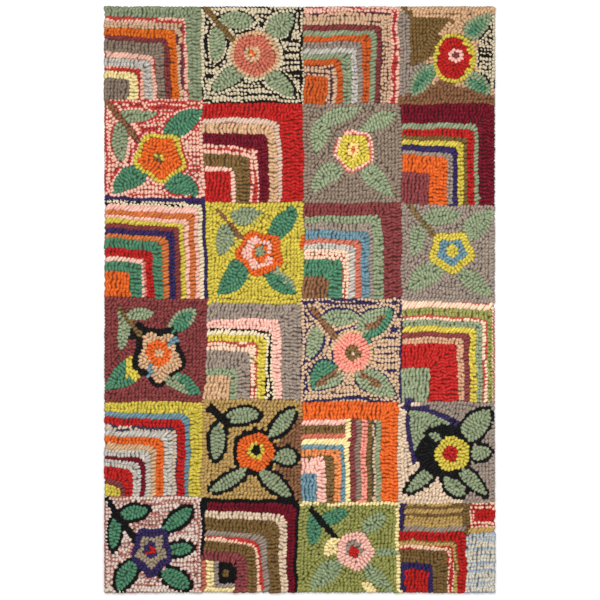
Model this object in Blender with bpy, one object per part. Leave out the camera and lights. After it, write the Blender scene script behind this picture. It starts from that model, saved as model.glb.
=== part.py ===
# A hooked rug lying flat on the floor, pile up.
# X runs across the rug, Y along it and Z up. The origin is on the floor, under the middle of the rug.
import math

import bmesh
import bpy

# Driving dimensions, in metres
BLOCK_SIDE = 0.1524         # one square block of the pattern
BLOCKS_ACROSS = 4
BLOCKS_ALONG = 6
BACKING_HEIGHT = 0.0022     # foundation cloth with its turned-under hem, and the yarn that runs along its back
PILE_HEIGHT = 0.0070        # hooked loops above the foundation
SIDE_DRAW = 0.0012          # most that a side is drawn in between two corners
HEM_SETBACK = 0.0020        # how far the folded foundation lies behind the bulge of the outermost loops
EDGE_ROUNDING = 0.0042      # how far in from the side the outermost loops reach full height
PILE_WAVER = 0.0006         # most that the pile dips below its full height

# Fineness of the mesh
CELLS_PER_BLOCK = 4
ROUNDING_STEPS = 4

# The pile's dips: waves along each side of the rug, and how much of the waver each pair takes
DIPS = (
    {"across": 3.0, "along": 2.0, "share": 0.5},
    {"across": 5.0, "along": 7.0, "share": 0.3},
    {"across": 2.0, "along": 11.0, "share": 0.2},
)

WIDTH = BLOCK_SIDE * BLOCKS_ACROSS
LENGTH = BLOCK_SIDE * BLOCKS_ALONG
CELLS_ACROSS = CELLS_PER_BLOCK * BLOCKS_ACROSS
CELLS_ALONG = CELLS_PER_BLOCK * BLOCKS_ALONG


# Share of a side's draw at a place from 0 to 1 along it: none at the corners and most between them
def drawn_in(place, bays):
    return math.sin(math.pi * place) * (0.7 + 0.3 * math.cos(2.0 * math.pi * bays * place))


# Share of the waver that the pile dips at a place on the rug, both coordinates from 0 to 1, corners full height
def dip(across, along):
    total = 0.0
    for wave in DIPS:
        ripple = math.sin(math.pi * wave["across"] * across) * math.sin(math.pi * wave["along"] * along)
        total += wave["share"] * ripple * ripple
    return total


# Where a point of the flat grid lands, its sides drawn in and a fixed inset taken off
def plan_point(column, row, inset):
    across = column / CELLS_ACROSS
    along = row / CELLS_ALONG
    half_width = WIDTH / 2.0 - inset - SIDE_DRAW * drawn_in(along, BLOCKS_ALONG)
    half_length = LENGTH / 2.0 - inset - SIDE_DRAW * drawn_in(across, BLOCKS_ACROSS)
    return (2.0 * across - 1.0) * half_width, (2.0 * along - 1.0) * half_length


# Grid places round the rim, anticlockwise seen from above
def rim_places():
    near = [(column, 0) for column in range(CELLS_ACROSS)]
    right = [(CELLS_ACROSS, row) for row in range(CELLS_ALONG)]
    far = [(column, CELLS_ALONG) for column in range(CELLS_ACROSS, 0, -1)]
    left = [(0, row) for row in range(CELLS_ALONG, 0, -1)]
    return near + right + far + left


# The rim's section from the floor up: the folded foundation, then the bulge and the shoulder of the outermost loops
def rim_section():
    shoulder = BACKING_HEIGHT + PILE_HEIGHT - EDGE_ROUNDING
    section = [(HEM_SETBACK, 0.0), (HEM_SETBACK, BACKING_HEIGHT), (0.0, BACKING_HEIGHT + HEM_SETBACK), (0.0, shoulder)]
    for step in range(1, ROUNDING_STEPS):
        angle = 0.5 * math.pi * step / ROUNDING_STEPS
        inset = EDGE_ROUNDING * (1.0 - math.cos(angle))
        section.append((inset, shoulder + EDGE_ROUNDING * math.sin(angle)))
    return section


def make_material(name, colour, roughness):
    material = bpy.data.materials.new(name)
    material.use_nodes = True
    principled = material.node_tree.nodes["Principled BSDF"]
    principled.inputs["Base Color"].default_value = (*colour, 1.0)
    principled.inputs["Roughness"].default_value = roughness
    principled.inputs["Metallic"].default_value = 0.0
    return material


# The top is a grid of cells. Rings of the section's points join its rim to one flat face on the floor.
def make_rug():
    bm = bmesh.new()
    top = {}
    for row in range(CELLS_ALONG + 1):
        for column in range(CELLS_ACROSS + 1):
            x, y = plan_point(column, row, EDGE_ROUNDING)
            fall = PILE_WAVER * dip(column / CELLS_ACROSS, row / CELLS_ALONG)
            top[column, row] = bm.verts.new((x, y, BACKING_HEIGHT + PILE_HEIGHT - fall))
    for row in range(CELLS_ALONG):
        for column in range(CELLS_ACROSS):
            corners = ((column, row), (column + 1, row), (column + 1, row + 1), (column, row + 1))
            bm.faces.new([top[corner] for corner in corners])

    places = rim_places()
    rings = []
    for inset, height in rim_section():
        rings.append([bm.verts.new((*plan_point(column, row, inset), height)) for column, row in places])
    rings.append([top[place] for place in places])
    for lower, upper in zip(rings, rings[1:]):
        for index in range(len(places)):
            after = (index + 1) % len(places)
            bm.faces.new((lower[index], lower[after], upper[after], upper[index]))
    bm.faces.new(list(reversed(rings[0])))

    mesh = bpy.data.meshes.new("rug")
    bm.to_mesh(mesh)
    bm.free()
    mesh.shade_smooth()
    mesh.set_sharp_from_angle(angle=math.radians(40.0))
    rug = bpy.data.objects.new("rug", mesh)
    bpy.context.scene.collection.objects.link(rug)
    return rug


def main():
    for old in list(bpy.data.objects):
        bpy.data.objects.remove(old, do_unlink=True)
    rug = make_rug()
    rug.data.materials.append(make_material("yarn_pile", (0.42, 0.30, 0.24), 0.95))


main()
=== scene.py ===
import math
import random

import bpy
import numpy as np
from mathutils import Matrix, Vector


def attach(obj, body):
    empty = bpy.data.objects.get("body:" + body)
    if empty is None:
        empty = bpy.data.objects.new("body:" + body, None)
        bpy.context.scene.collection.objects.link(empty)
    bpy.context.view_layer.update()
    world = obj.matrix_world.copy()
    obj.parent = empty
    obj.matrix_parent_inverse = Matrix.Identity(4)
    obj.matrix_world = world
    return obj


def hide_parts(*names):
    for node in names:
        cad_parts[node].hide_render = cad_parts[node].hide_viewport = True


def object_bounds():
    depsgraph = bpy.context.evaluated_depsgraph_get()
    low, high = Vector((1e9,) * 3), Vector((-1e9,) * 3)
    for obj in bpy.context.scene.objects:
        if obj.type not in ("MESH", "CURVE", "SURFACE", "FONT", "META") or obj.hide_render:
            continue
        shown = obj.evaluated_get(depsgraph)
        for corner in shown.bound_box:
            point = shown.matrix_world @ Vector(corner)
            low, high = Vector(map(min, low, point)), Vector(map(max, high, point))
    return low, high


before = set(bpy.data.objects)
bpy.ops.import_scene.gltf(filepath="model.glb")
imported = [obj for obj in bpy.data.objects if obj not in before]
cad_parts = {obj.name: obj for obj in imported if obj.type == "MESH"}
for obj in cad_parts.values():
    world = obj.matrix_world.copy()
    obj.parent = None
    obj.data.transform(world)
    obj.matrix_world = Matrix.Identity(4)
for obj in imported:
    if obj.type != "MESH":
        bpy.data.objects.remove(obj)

cadLow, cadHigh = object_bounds()
chance = random.Random(1148)

# The whole rug. A place on a block is in hundredths of its side, u to the right and v down from its top left.
rug = {
    "blocksAcross": 4,
    "blocksAlong": 6,
    "sideDraw": 0.0006,         # metres that a side is drawn in between its corners
    "drawWave": 0.3,            # share of it that comes and goes with the blocks
    # How far off true the seams between blocks were hooked, in hundredths of a block
    "uprightSeams": (           # a row for each row of blocks, its three seams from the left
        (-1.0, 2.0, 1.5),
        (0.0, 3.0, 2.0),
        (6.0, 3.0, 3.5),
        (4.0, 0.0, 3.5),
        (-2.0, 3.0, 1.5),
        (-0.5, -1.5, 2.5),
    ),
    "levelSeams": (             # a row for each column of blocks, its five seams from the top
        (-4.5, -1.5, 0.0, 3.0, 0.0),
        (-1.5, 3.0, 3.5, 3.0, 3.5),
        (-1.5, -1.0, 0.0, 3.5, 5.0),
        (-1.0, 2.5, 2.0, 4.0, 6.0),
    ),
    "wobble": 0.7,              # hundredths of a block that a row strays as it is hooked
    "wobbleWaves": (            # sideways, then along: share, radians a block across and down, and start
        ((1.0, 1.3, 7.1, 0.0), (0.6, -2.2, 15.7, 1.0)),
        ((1.0, 6.3, -1.7, 2.0), (0.6, 17.3, 1.1, 0.0)),
    ),
    "calmEdge": 5.0,            # how fast it grows from the rug's edge inwards, for each block
    "lots": (                   # how bright the yarns of each block are, next to those of the others
        (0.78, 0.93, 0.84, 0.89),
        (0.91, 0.95, 1.04, 0.93),
        (0.88, 0.92, 1.00, 1.00),
        (0.97, 1.00, 1.11, 1.05),
        (0.89, 0.91, 1.00, 0.94),
        (0.89, 0.87, 0.92, 0.84),
    ),
}
blockSide = (cadHigh.x - cadLow.x) / rug["blocksAcross"]
unit = blockSide / 100.0

# The hooked loops. Lengths without a unit are hundredths of a block.
pile = {
    "rowStep": 4.05,            # from one row of loops to the next
    "pitch": 3.55,              # from one loop to the next along a row
    "overlap": 1.46,            # a loop's length over the width of its row
    "shortest": 4.3,            # length of the shortest loop
    "snug": 0.72,               # how near a loop may come to those already hooked, where 1 is side by side
    "gap": 0.74,                # and how far from them a place may lie before it gets a loop too
    "slantLevel": 28.0,         # degrees that a single row's loops lean off square where it is level
    "slantUpright": -8.0,       # and where it is upright
    "ribSlant": 0.2,            # share of that lean in a strip of several rows
    "sway": 0.85,               # how far the ribs of such a strip sway to either side
    "ribWaves": ((1.0, 0.15), (0.7, 0.43)),     # share of that sway, and radians of its wave per unit
    "quickWave": (0.3, 0.9),    # a shorter wave that each rib has too
    "steepest": 0.8,            # most that a strip's loops lean, as a slope
    "leastSquare": 0.3,         # the lean allows for the strip's own slant down to this share of square
    "catchUp": 4.0,             # loops at the end of a row that make up for what is left over
    "shortestRow": 1.5,         # a strip's shorter rows are left out
    "pitchSpread": 0.03,        # share that the pitch varies from strip to strip
    "turnSpread": 9.5,          # degrees that single loops turn
    "turnWaves": ((0.16, 0.21), (0.1, 0.5)),    # radians that a row's loops turn together, and the same
    "placeSpread": 0.2,         # how far a strip's loops stray along it
    "reachSpread": 0.4,         # how far a loop pokes out of its row to either side
    "sizeSpread": 0.05,         # share that the length and the width of a loop vary
    "zigzag": 15.0,             # degrees that the loops of every other row turn off the next row's
    "lineSteps": 8,             # straight parts of a line along a block's side
    "cornerSteps": 6,           # and of a band's corner
    "cornerBend": 3.0,          # radius of that corner
    "fullBend": 14.0,           # nearer to the top than this, the radius shrinks
    "mostBend": 0.8,            # most of a leg that its corner may take up
    "insetKept": 0.93,          # share of its depth that a point of an inset line must stand off the outline
    "shapeStep": 0.96,          # from row to row inside a flower or leaf, over rowStep
    "gapStep": 1.25,            # between the places that are looked at for gaps
    "run": 0.07,                # chance at each loop that a marl's strands change sides
    "amountSpread": 0.12,       # how fast a marl's second strand comes and goes
    "phaseSpread": 0.045,       # turns that it strays round a loop
    "edgeStray": 0.0002,        # metres that the outermost loops fall short of the rug's outline
    "footDepth": 0.0003,        # metres that the feet go down into the foundation
    "heightSpread": 0.0004,     # metres that a loop stays below the highest
    "leanSpread": 0.06,         # sideways lean of a loop over its height
    "toneSpread": 0.06,         # brightness of single loops, where 1 is from the darkest to the lightest
    "tuck": 0.12,               # share that a loop is shorter at its foot than at its top
    "rings": (                  # a loop from end to end: place, height and width
        (-1.0, 0.10, 0.66),
        (-0.82, 0.72, 0.94),
        (-0.34, 0.98, 1.00),
        (0.34, 0.98, 1.00),
        (0.82, 0.72, 0.94),
        (1.0, 0.10, 0.66),
    ),
    "section": (                # and over it from side to side: place and height
        (-1.26, 0.0),
        (-0.82, 0.76),
        (0.0, 1.0),
        (0.82, 0.76),
        (1.26, 0.0),
    ),
}

# The cloth that the loops are hooked through
foundation = {
    "top": 0.0022,              # metres above the floor
    "thickness": 0.0010,
    "hemWidth": 0.026,
    "setback": 0.0022,          # from the rug's outline in to the fold of the hem
    "foldSteps": 6,
    "stepsAcross": 16,
    "stepsAlong": 24,
    "thread": 0.0013,           # from one thread to the next
    "sharpFold": 35.0,          # degrees from which an edge of the cloth is sharp
    "darkThread": (136, 112, 78),
    "lightThread": (206, 184, 146),
    "pileSideShade": (122, 106, 86),   # the face that the loops cover, painted darker as shade down between the loops
}

# Plain yarns, each spun of a lighter and a darker strand of its colour
plainYarns = {
    "red": (185, 34, 31), "orange": (226, 102, 38), "burntOrange": (203, 92, 39),
    "yellowOrange": (221, 107, 33), "apricot": (229, 142, 84), "rust": (206, 114, 60),
    "mustard": (210, 190, 73), "paleYellow": (254, 224, 161), "peachCream": (226, 200, 172),
    "pink": (251, 189, 173), "coral": (201, 111, 89), "salmon": (236, 148, 130), "maroon": (130, 60, 59),
    "paleMaroon": (141, 67, 69), "wine": (111, 17, 35), "navy": (54, 42, 89), "blue": (109, 143, 155),
    "jade": (104, 142, 106), "emerald": (79, 131, 100), "sage": (144, 155, 122),
    "palerSage": (143, 157, 119), "moss": (147, 148, 80), "oliveBrown": (121, 93, 53),
    "greyOlive": (159, 142, 118), "brown": (136, 94, 65), "rustBrown": (126, 104, 68),
    "taupe": (154, 138, 125), "darkTaupe": (140, 122, 106), "silver": (196, 189, 178),
    "tan": (209, 168, 129), "peachTan": (204, 158, 124), "camel": (184, 150, 90), "black": (19, 17, 19),
}

# Marls, each spun of two colours. The number says how much of the second one shows.
marls = {
    "candy": ((240, 190, 168), (193, 65, 60), 0.54),
    "paleCandy": ((240, 206, 178), (192, 82, 68), 0.38),
    "redPink": ((244, 184, 160), (192, 56, 50), 0.74),
    "redCandy": ((248, 204, 174), (194, 58, 53), 0.52),
    "peachCandy": ((248, 206, 133), (206, 104, 72), 0.30),
    "pinkWhite": ((240, 196, 176), (214, 118, 104), 0.42),
    "blackCream": ((213, 198, 167), (22, 19, 18), 0.52),
    "creamBlack": ((234, 216, 180), (24, 21, 18), 0.30),
    "navyTan": ((204, 171, 137), (48, 39, 82), 0.52),
    "slateCream": ((208, 186, 166), (62, 58, 80), 0.54),
    "tanPlum": ((214, 176, 142), (98, 60, 70), 0.32),
    "confetti": ((216, 187, 167), (163, 118, 102), 0.36),
    "pinkBeige": ((226, 206, 192), (184, 122, 112), 0.50),
    "goldBrown": ((194, 160, 92), (134, 103, 57), 0.27),
    "creamGreen": ((208, 178, 142), (76, 68, 60), 0.36),
    "silverBlue": ((219, 210, 188), (168, 179, 192), 0.50),
}


# A list of places from its text: u,v u,v ...
def places(text):
    return [tuple(float(part) for part in pair.split(",")) for pair in text.split()]


# How finely the outlines are drawn, and how blunt a leaf's ends are, from 1 for pointed towards 0
forms = {"bloomSteps": 40, "petals": 5, "leafSteps": 12, "stemSteps": 6, "bluntness": 0.65}


# Both sides of a bowed line between two places. "bow" is how far its middle stands off the straight line.
# halfWidth gives half of its width at a share of the way.
def sidesOf(startU, startV, tipU, tipV, bow, steps, halfWidth):
    stepU, stepV = tipU - startU, tipV - startV
    length = math.hypot(stepU, stepV)
    acrossU, acrossV = -stepV / length, stepU / length
    sides = ([], [])
    for n in range(steps + 1):
        share = n / steps
        off, half = 4.0 * bow * share * (1.0 - share), halfWidth(share)
        for side, reach in zip(sides, (off + half, off - half)):
            side.append((startU + stepU * share + acrossU * reach, startV + stepV * share + acrossV * reach))
    return sides


# A leaf between its two ends. "fullest" is where along it the leaf is widest.
def leaf(startU, startV, tipU, tipV, width, bow=0.0, fullest=0.5):
    skew, blunt = math.log(0.5) / math.log(fullest), forms["bluntness"]
    left, right = sidesOf(startU, startV, tipU, tipV, bow, forms["leafSteps"],
                          lambda share: 0.5 * width * math.sin(math.pi * share ** skew) ** blunt)
    return left + right[-2:0:-1]


# A stem between the middles of its two ends, "flare" wider at the second one
def stem(startU, startV, tipU, tipV, width, bow=0.0, flare=0.0):
    left, right = sidesOf(startU, startV, tipU, tipV, bow, forms["stemSteps"],
                          lambda share: 0.5 * (width + flare * share))
    return left + right[::-1]


# A flower with its petals round a middle. "turn" is the first petal's way, in degrees clockwise from straight
# up, and "depth" is how deep the dips between petals are.
def bloom(middleU, middleV, width, height, turn=0.0, depth=0.1):
    outline = []
    for n in range(forms["bloomSteps"]):
        way = math.tau * n / forms["bloomSteps"]
        reach = 0.5 + 0.5 * depth * math.cos(forms["petals"] * (way - math.radians(turn)))
        outline.append((middleU + width * reach * math.sin(way), middleV - height * reach * math.cos(way)))
    return outline


# The chart of blocks, row by row from the top. "from" says how far off its place a block begins. Each list
# but "bands" and "boxes" has a yarn and then one or more outlines.
# A nested block has bands, from the top right corner inwards. After each yarn comes its inner edge: the
# height at the left, half way and at the corner's place (u, v), then how far right it is half way down and
# at the bottom. A band without a yarn only moves the edge, and "bend" is the radius of its corners. Boxes are
# strips of rows: the way they run, then left, top, right and bottom. "fill" is the yarn of what is left.
# A flower block has rings, from the rim inwards, and shapes, which are leaves and stems. "outline" is a yarn,
# a width, and the yarn of the shapes that a row of it goes round. "ground" is the yarn of the rest, and
# "grounds" are parts of it in other yarns. Patches change the yarn of all but grounds and outlines.
chart = (
    # The first row
    {"fill": "darkTaupe", "bands": (
        ("sage", 10, 13, 83.5, 12.5, 87, 86), ("candy", 15.5, 18.5, 80.5, 17.5, 82, 81),
        ("tanPlum", 22, 25, 74.5, 26.5, 76, 76.5), ("yellowOrange", 30, 33.5, 66, 36, 69, 69),
        ("maroon", 34, 38.5, 62, 40, 62.5, 62), ("darkTaupe", 47.5, 50.5, 52, 54, 54.5, 54),
        ("candy", 54, 56, 48.5, 58.5, 49.5, 49), ("silver", 63.5, 64.5, 41, 67.5, 41, 40.5),
        ("redPink", 67.5, 69.5, 35.5, 71.5, 35.5, 35), ("paleYellow", 75.5, 77, 26, 78, 26, 25.5),
    )},
    {"ground": "blackCream", "rings": (
        ("tan", bloom(54, 51, 49, 50, 27, 0.01)), ("coral", bloom(53, 52, 40, 42, 36, 0.04)),
        ("tan", bloom(52, 51, 17, 17, 27, 0.02)), ("orange", leaf(52, 47, 53, 53, 5, fullest=0.55)),
    ), "shapes": (
        ("oliveBrown", stem(2, -1, 35, 40, 6)),
        ("sage", leaf(54, 17, 16, 14, 19), leaf(13, 19, 14, 59, 16, bow=-4),
         leaf(93, 7, 66, 32, 23, fullest=0.55), leaf(39, 66, 9, 89, 19, fullest=0.3),
         leaf(65, 71, 94, 94, 19, fullest=0.3)),
    )},
    {"from": (1.5, 0), "fill": "burntOrange", "bands": (
        ("candy", 8.5, 6.5, 92.5, 7, 91, 90.5), ("tanPlum", 19, 20, 82.5, 20, 80.5, 80),
        ("maroon", 25, 26, 78, 25.5, 75.5, 75.5), ("sage", 30.5, 32, 71.5, 29.5, 69.5, 69.5),
        ("burntOrange", 37, 37, 61.5, 37, 62, 63), ("taupe", 43.5, 44, 55, 44, 57, 58),
        ("silver", 49, 49.5, 50.5, 49.5, 50.5, 51), ("sage", 55, 55, 39.5, 54.5, 41, 43),
        ("burntOrange", 61, 60.5, 33.5, 61, 35.5, 35.5), ("tanPlum", 72, 72, 25, 73.5, 26, 27),
    )},
    {"ground": "tan", "rings": (
        ("mustard", bloom(57, 55, 45, 52, 51, 0.01)), ("red", bloom(56, 55, 34, 42, 27, 0.04)),
        ("pink", bloom(58, 52, 16, 15, 42, 0.06)), ("maroon", bloom(57, 53, 7, 7, 24, 0.02)),
    ), "shapes": (
        ("oliveBrown", places("12,11 58,14 42,27 36,38 28,52 10,62")),
        ("sage", leaf(68, 32, 97, 8, 21, fullest=0.3), leaf(36, 60, 11, 94, 20, fullest=0.4),
         leaf(68, 73, 97, 92, 19, bow=-2, fullest=0.35)),
    ), "patches": (
        ("jade", leaf(92, 13, 70, 31, 12, fullest=0.6)), ("emerald", leaf(80, 22, 71, 28, 8)),
        ("jade", leaf(35, 64, 14, 89, 13, fullest=0.3)), ("emerald", stem(29, 69, 16, 86, 6, flare=-1)),
        ("jade", leaf(73, 77, 93, 89, 11, fullest=0.4)), ("emerald", leaf(78, 78, 88, 88, 5, fullest=0.6)),
    ), "grounds": (
        ("taupe", places("-2,4 12,6 11,60 28,56 8,92 -2,96")),
        ("blackCream", places("101,6 86,28 80,42 80,66 102,90")),
        ("brown", places("47,76 -2,95 -2,102 102,102 102,94 57,82")),
        ("oliveBrown", places("3,0 9,0 16,11 11,14"), places("42,27 44,36 38,48 17,62 10,62 30,36")),
    )},
    # The second row
    {"from": (0, -0.5), "ground": "candy", "rings": (
        ("mustard", bloom(57, 56, 51, 48, 39)), ("orange", bloom(57, 56, 40, 39, 36)),
        ("mustard", leaf(62, 57, 50, 56, 11, fullest=0.4)), ("oliveBrown", bloom(56, 57, 6, 7, 6, 0.03)),
    ), "shapes": (
        ("brown", stem(0, -2, 35, 40, 6)),
        ("sage", leaf(16, 17, 56, 14, 13, fullest=0.3), leaf(15, 18, 18, 64, 16)),
        ("emerald", leaf(59, 37, 100, 10, 22), leaf(41, 70, 9, 94, 22, bow=4, fullest=0.3),
         leaf(58, 82, 95, 94, 21, bow=-5, fullest=0.45)),
    ), "grounds": (
        ("navy", places("-2,96.5 102,96.5 102,102 -2,102")),
    )},
    {"from": (0.5, 1.5), "fill": "red", "bands": (
        ("red", 18, 15.7, 78, 20.5, 79, 78.5), ("confetti", 22, 21.5, 73.5, 24.5, 74.7, 75),
        ("tan", 31.5, 31.5, 65.5, 33.5, 65.7, 66), ("wine", 42, 43.5, 55, 46, 55, 56),
        ("candy", 52, 52, 46.5, 54, 46, 47), ("oliveBrown", 64.5, 64.5, 30.5, 66.5, 31, 32),
        ("pinkWhite", 69.5, 69, 26.5, 69.5, 26, 28),
    )},
    {"from": (1, 1), "ground": "darkTaupe", "rings": (
        ("pinkWhite", bloom(53, 48, 41, 42, 51, 0.05)), ("mustard", bloom(52, 48, 33, 33, 42, 0.08)),
        ("peachCandy", bloom(52, 47, 12, 15, 27, 0.03)), ("rust", leaf(52, 44, 52, 51, 6, fullest=0.55)),
    ), "shapes": (
        ("sage", leaf(16, 20, 62, 6, 16, fullest=0.35), leaf(22, 15, 12, 51, 20, bow=-1, fullest=0.3),
         leaf(97, 10, 60, 29, 16), leaf(40, 64, 10, 91, 21, bow=5, fullest=0.3),
         leaf(63, 65, 94, 94, 20, fullest=0.3)),
    )},
    {"from": (2, 1.5), "fill": "paleMaroon", "bands": (
        ("wine", 21, 20, 80.7, 22.5, 82.5, 82.5), ("sage", 27, 25.7, 76.5, 27.5, 78, 78.5),
        ("red", 33, 33, 69.5, 35, 71.3, 71.5), ("oliveBrown", 37, 37.5, 66.2, 39, 67.3, 67),
        ("mustard", 42, 42.5, 60.8, 44.7, 60.6, 61.5), ("navy", 48, 48.3, 55.7, 51, 56.2, 55),
        ("taupe", 52, 52, 50.5, 55.5, 49.8, 51), ("orange", 70, 69.5, 31, 69.7, 31.5, 31),
    )},
    # The third row
    {"from": (0, 0.5), "fill": "orange", "bands": (
        ("navy", 0.8, 1.5, 98, 3.5, 97.8, 97.5), ("creamBlack", 4, 4.5, 94, 7, 93, 93.5),
        ("pink", 10.5, 10.5, 90, 12.5, 89.5, 89), ("rust", 15.5, 16, 84.5, 18.5, 83.7, 83.5),
        ("pink", 18.5, 19.5, 80, 22, 79.7, 80), ("mustard", 23.5, 24, 75.5, 25, 74.7, 75),
        ("maroon", 28.5, 29, 70.5, 29.5, 69.3, 69.5), ("navy", 34.5, 34.5, 64.5, 35.5, 63, 63.5),
        ("rust", 39, 39, 57, 41, 57, 57.5), ("emerald", 49, 49, 48, 50.5, 47.5, 49),
        ("red", 57, 57.3, 41.5, 58.5, 41, 42), ("pinkWhite", 62, 62, 37, 63, 36.5, 36.5),
        ("emerald", 71.5, 72, 24.5, 72.5, 24.5, 25.5),
    ), "patches": (
        ("blackCream", bloom(46, -1, 100, 7, 0, 0.07)),
    )},
    {"from": (1, 0), "ground": "mustard", "rings": (
        ("orange", bloom(56, 51, 48, 44, 48, 0.11)), ("pink", bloom(54, 51, 31, 32, 54, 0.14)),
        ("orange", bloom(56, 51, 18, 18, 30, 0.02)), ("sage", bloom(56, 49, 12, 11, 9, 0.02)),
    ), "shapes": (
        ("brown", stem(37, 37, 11, 6, 7, bow=1, flare=-5)),
        ("sage", leaf(61, 9, 25, 15, 19, bow=-1, fullest=0.6),
         leaf(24, 23, 12, 56, 19, bow=-2, fullest=0.3)),
        ("emerald", leaf(65, 39, 95, 5, 21), leaf(37, 58, 11, 94, 25, bow=-5, fullest=0.3),
         leaf(97, 93, 60, 68, 18)),
    ), "patches": (
        ("sage", stem(72, 66, 99, 90, 7, flare=-1)),
    ), "grounds": (
        ("orange", places("99,33 102,33 102,48 99,48")),
    )},
    {"from": (2, 0.5), "fill": "brown", "bands": (
        ("maroon", 15, 12.8, 79.7, 13.5, 83, 83), ("sage", 21, 20.5, 70, 21, 72.3, 73),
        ("taupe", 27.7, 28.5, 66.3, 29.5, 68.3, 69), ("blue", 38, 37, 59, 37.5, 60, 61.5),
        ("coral", 43, 41.5, 53.8, 43, 54.3, 54.5), ("silver", 47.8, 47.7, 48, 48, 48.3, 48),
        ("paleCandy", 57.7, 58, 41.5, 58, 41.5, 42.5), ("emerald", 75.5, 75.5, 27.5, 78, 28, 28),
    )},
    {"from": (1, 1.5), "ground": "taupe", "rings": (
        ("mustard", bloom(54, 49, 47, 42, 30, 0.09)), ("blue", bloom(54, 49, 31, 26, 33, 0.12)),
        ("mustard", bloom(54, 48, 13, 13, 9, 0.02)),
    ), "shapes": (
        ("rustBrown", stem(6, 0, 37, 35, 6)),
        ("sage", leaf(22, 16, 66, 10, 18, fullest=0.4), leaf(21, 21, 13, 56, 17, fullest=0.4),
         leaf(66, 33, 101, 6, 24, fullest=0.3), leaf(48, 67, 8, 90, 23, bow=4, fullest=0.45),
         leaf(63, 69, 98, 95, 20, fullest=0.35)),
    )},
    # The fourth row
    {"from": (0, -2.5), "ground": "maroon", "rings": (
        ("black", bloom(54, 55, 51, 59, 33, 0.11)), ("tan", bloom(55, 56, 40, 48, 36, 0.15)),
        ("orange", bloom(54, 53, 24, 27, 30, 0.05)), ("tan", leaf(60, 49, 49, 57, 8, fullest=0.45)),
    ), "shapes": (
        ("oliveBrown", stem(13, 5, 38, 38, 5)),
        ("sage", leaf(21, 15, 51, 14, 13), leaf(22, 20, 17, 53, 13, fullest=0.3), leaf(92, 7, 63, 31, 19)),
        ("emerald", leaf(35, 64, 2, 87, 26, fullest=0.3), leaf(100, 94, 61, 75, 18, bow=1, fullest=0.6)),
    ), "patches": (
        ("emerald", leaf(69, 33, 87, 9, 13, fullest=0.45)),
        ("mustard", places("21,58 27,56 28,70 42,80 29,80 20,76")),
        ("oliveBrown", leaf(26, 24, 40, 39, 8, fullest=0.45)),
        ("sage", leaf(88, 94, 61, 77, 14, fullest=0.7)),
        ("blue", leaf(76, 36, 61, 45, 8), leaf(45, 63, 44, 78, 6)),
    ), "grounds": (
        ("sage", places("14,12 24,12 34,30 22,32 15,22")), ("black", leaf(22, 36, 40, 27, 15)),
    )},
    {"from": (1.5, 2.5), "fill": "tan", "bands": (
        ("taupe", 21, 17.7, 78, 17.5, 79.3, 81.5), ("pink", 27, 28.3, 69.3, 30, 70.5, 75),
        ("creamBlack", 34.5, 34.3, 62.7, 35.5, 63.5, 63.5), ("mustard", 40.5, 41, 54.3, 42.7, 54.7, 56),
        ("paleCandy", 49, 50.5, 46.5, 53, 47.8, 48.5), ("taupe", 67.5, 67.7, 34.5, 68.5, 35, 35),
        ("sage", 74, 74.5, 27, 75, 28, 28.5),
    )},
    {"from": (0, -2.5), "ground": "navyTan", "rings": (
        ("tan", bloom(52, 51, 43, 44, depth=0)), ("salmon", bloom(51, 52, 37, 39, 54, 0.02)),
        ("oliveBrown", bloom(52, 53, 16, 16, 12, 0.02)), ("confetti", bloom(52, 53, 5, 5, 39, 0.06)),
    ), "shapes": (
        ("brown", stem(9, 6, 35, 38, 6)),
        ("sage", leaf(58, 15, 18, 19, 17), leaf(16, 24, 8, 59, 16, bow=-1, fullest=0.45),
         leaf(93, 8, 54, 33, 26, fullest=0.55), leaf(45, 76, 9, 87, 28, bow=8),
         leaf(55, 75, 95, 94, 24, bow=-3, fullest=0.4)),
    ), "patches": (
        ("emerald", stem(92, 11, 65, 38, 11, bow=-1, flare=-2), leaf(33, 60, 9, 92, 17, bow=3, fullest=0.3)),
        ("brown", leaf(62, 30, 84, 13, 6, fullest=0.4), stem(17, 85, 38, 71, 5),
         stem(61, 72, 81, 85, 5, flare=2)),
    )},
    {"from": (1.5, 1), "fill": "sage", "bands": (
        ("paleCandy", 9, 7, 97.5, 8.5, 98, 98), ("moss", 15.5, 15.2, 91.7, 17, 91.5, 92),
        ("paleCandy", 19.7, 19.5, 86.2, 20, 86.3, 86.5), ("sage", 26.3, 25.7, 80.5, 26.5, 80, 80.5),
        ("mustard", 31.5, 31.5, 73.7, 32, 73.2, 73.5), ("maroon", 37, 36.5, 67.5, 37.5, 67.2, 66.5),
        ("peachTan", 43.5, 43, 60.5, 43, 60.5, 61.5), ("red", 67.5, 66.5, 30.5, 69, 31.5, 31),
    ), "patches": (
        ("navy", leaf(6, 97, 17, 101, 7, fullest=0.3)),
    )},
    # The fifth row
    {"from": (0, 1.5), "bend": 7, "fill": "mustard", "bands": (
        ("mustard", 10, 14, 86.5, 14, 88, 87.7), ("blue", 15.5, 19.5, 82, 20, 83.2, 84),
        ("red", 23, 27.5, 74.7, 28.5, 74.7, 76), ("slateCream", 30, 32, 70, 32.5, 70, 70.5),
        ("silver", 36, 38, 60, 39, 61.5, 62), ("orange", 43.5, 45.5, 53, 47.5, 53.7, 54.5),
        ("tan", 51, 51.5, 47.5, 52.5, 48, 48.5), ("silver", 58.5, 58.7, 42, 62, 43, 42.5),
        ("wine", 61.7, 62, 37, 66, 38, 38), ("silver", 68.5, 69.7, 29.5, 73, 30, 29.5),
        ("red", 82.5, 82.7, 20, 86, 22, 23.5), ("maroon", 87.5, 88, 15, 91, 17, 18),
    )},
    {"from": (0, -1), "ground": "camel", "outline": ("black", 3.4, "sage"), "rings": (
        ("orange", bloom(54, 53, 39, 38, 18, 0.06)), ("mustard", bloom(55, 52, 18, 17, depth=0)),
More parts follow.
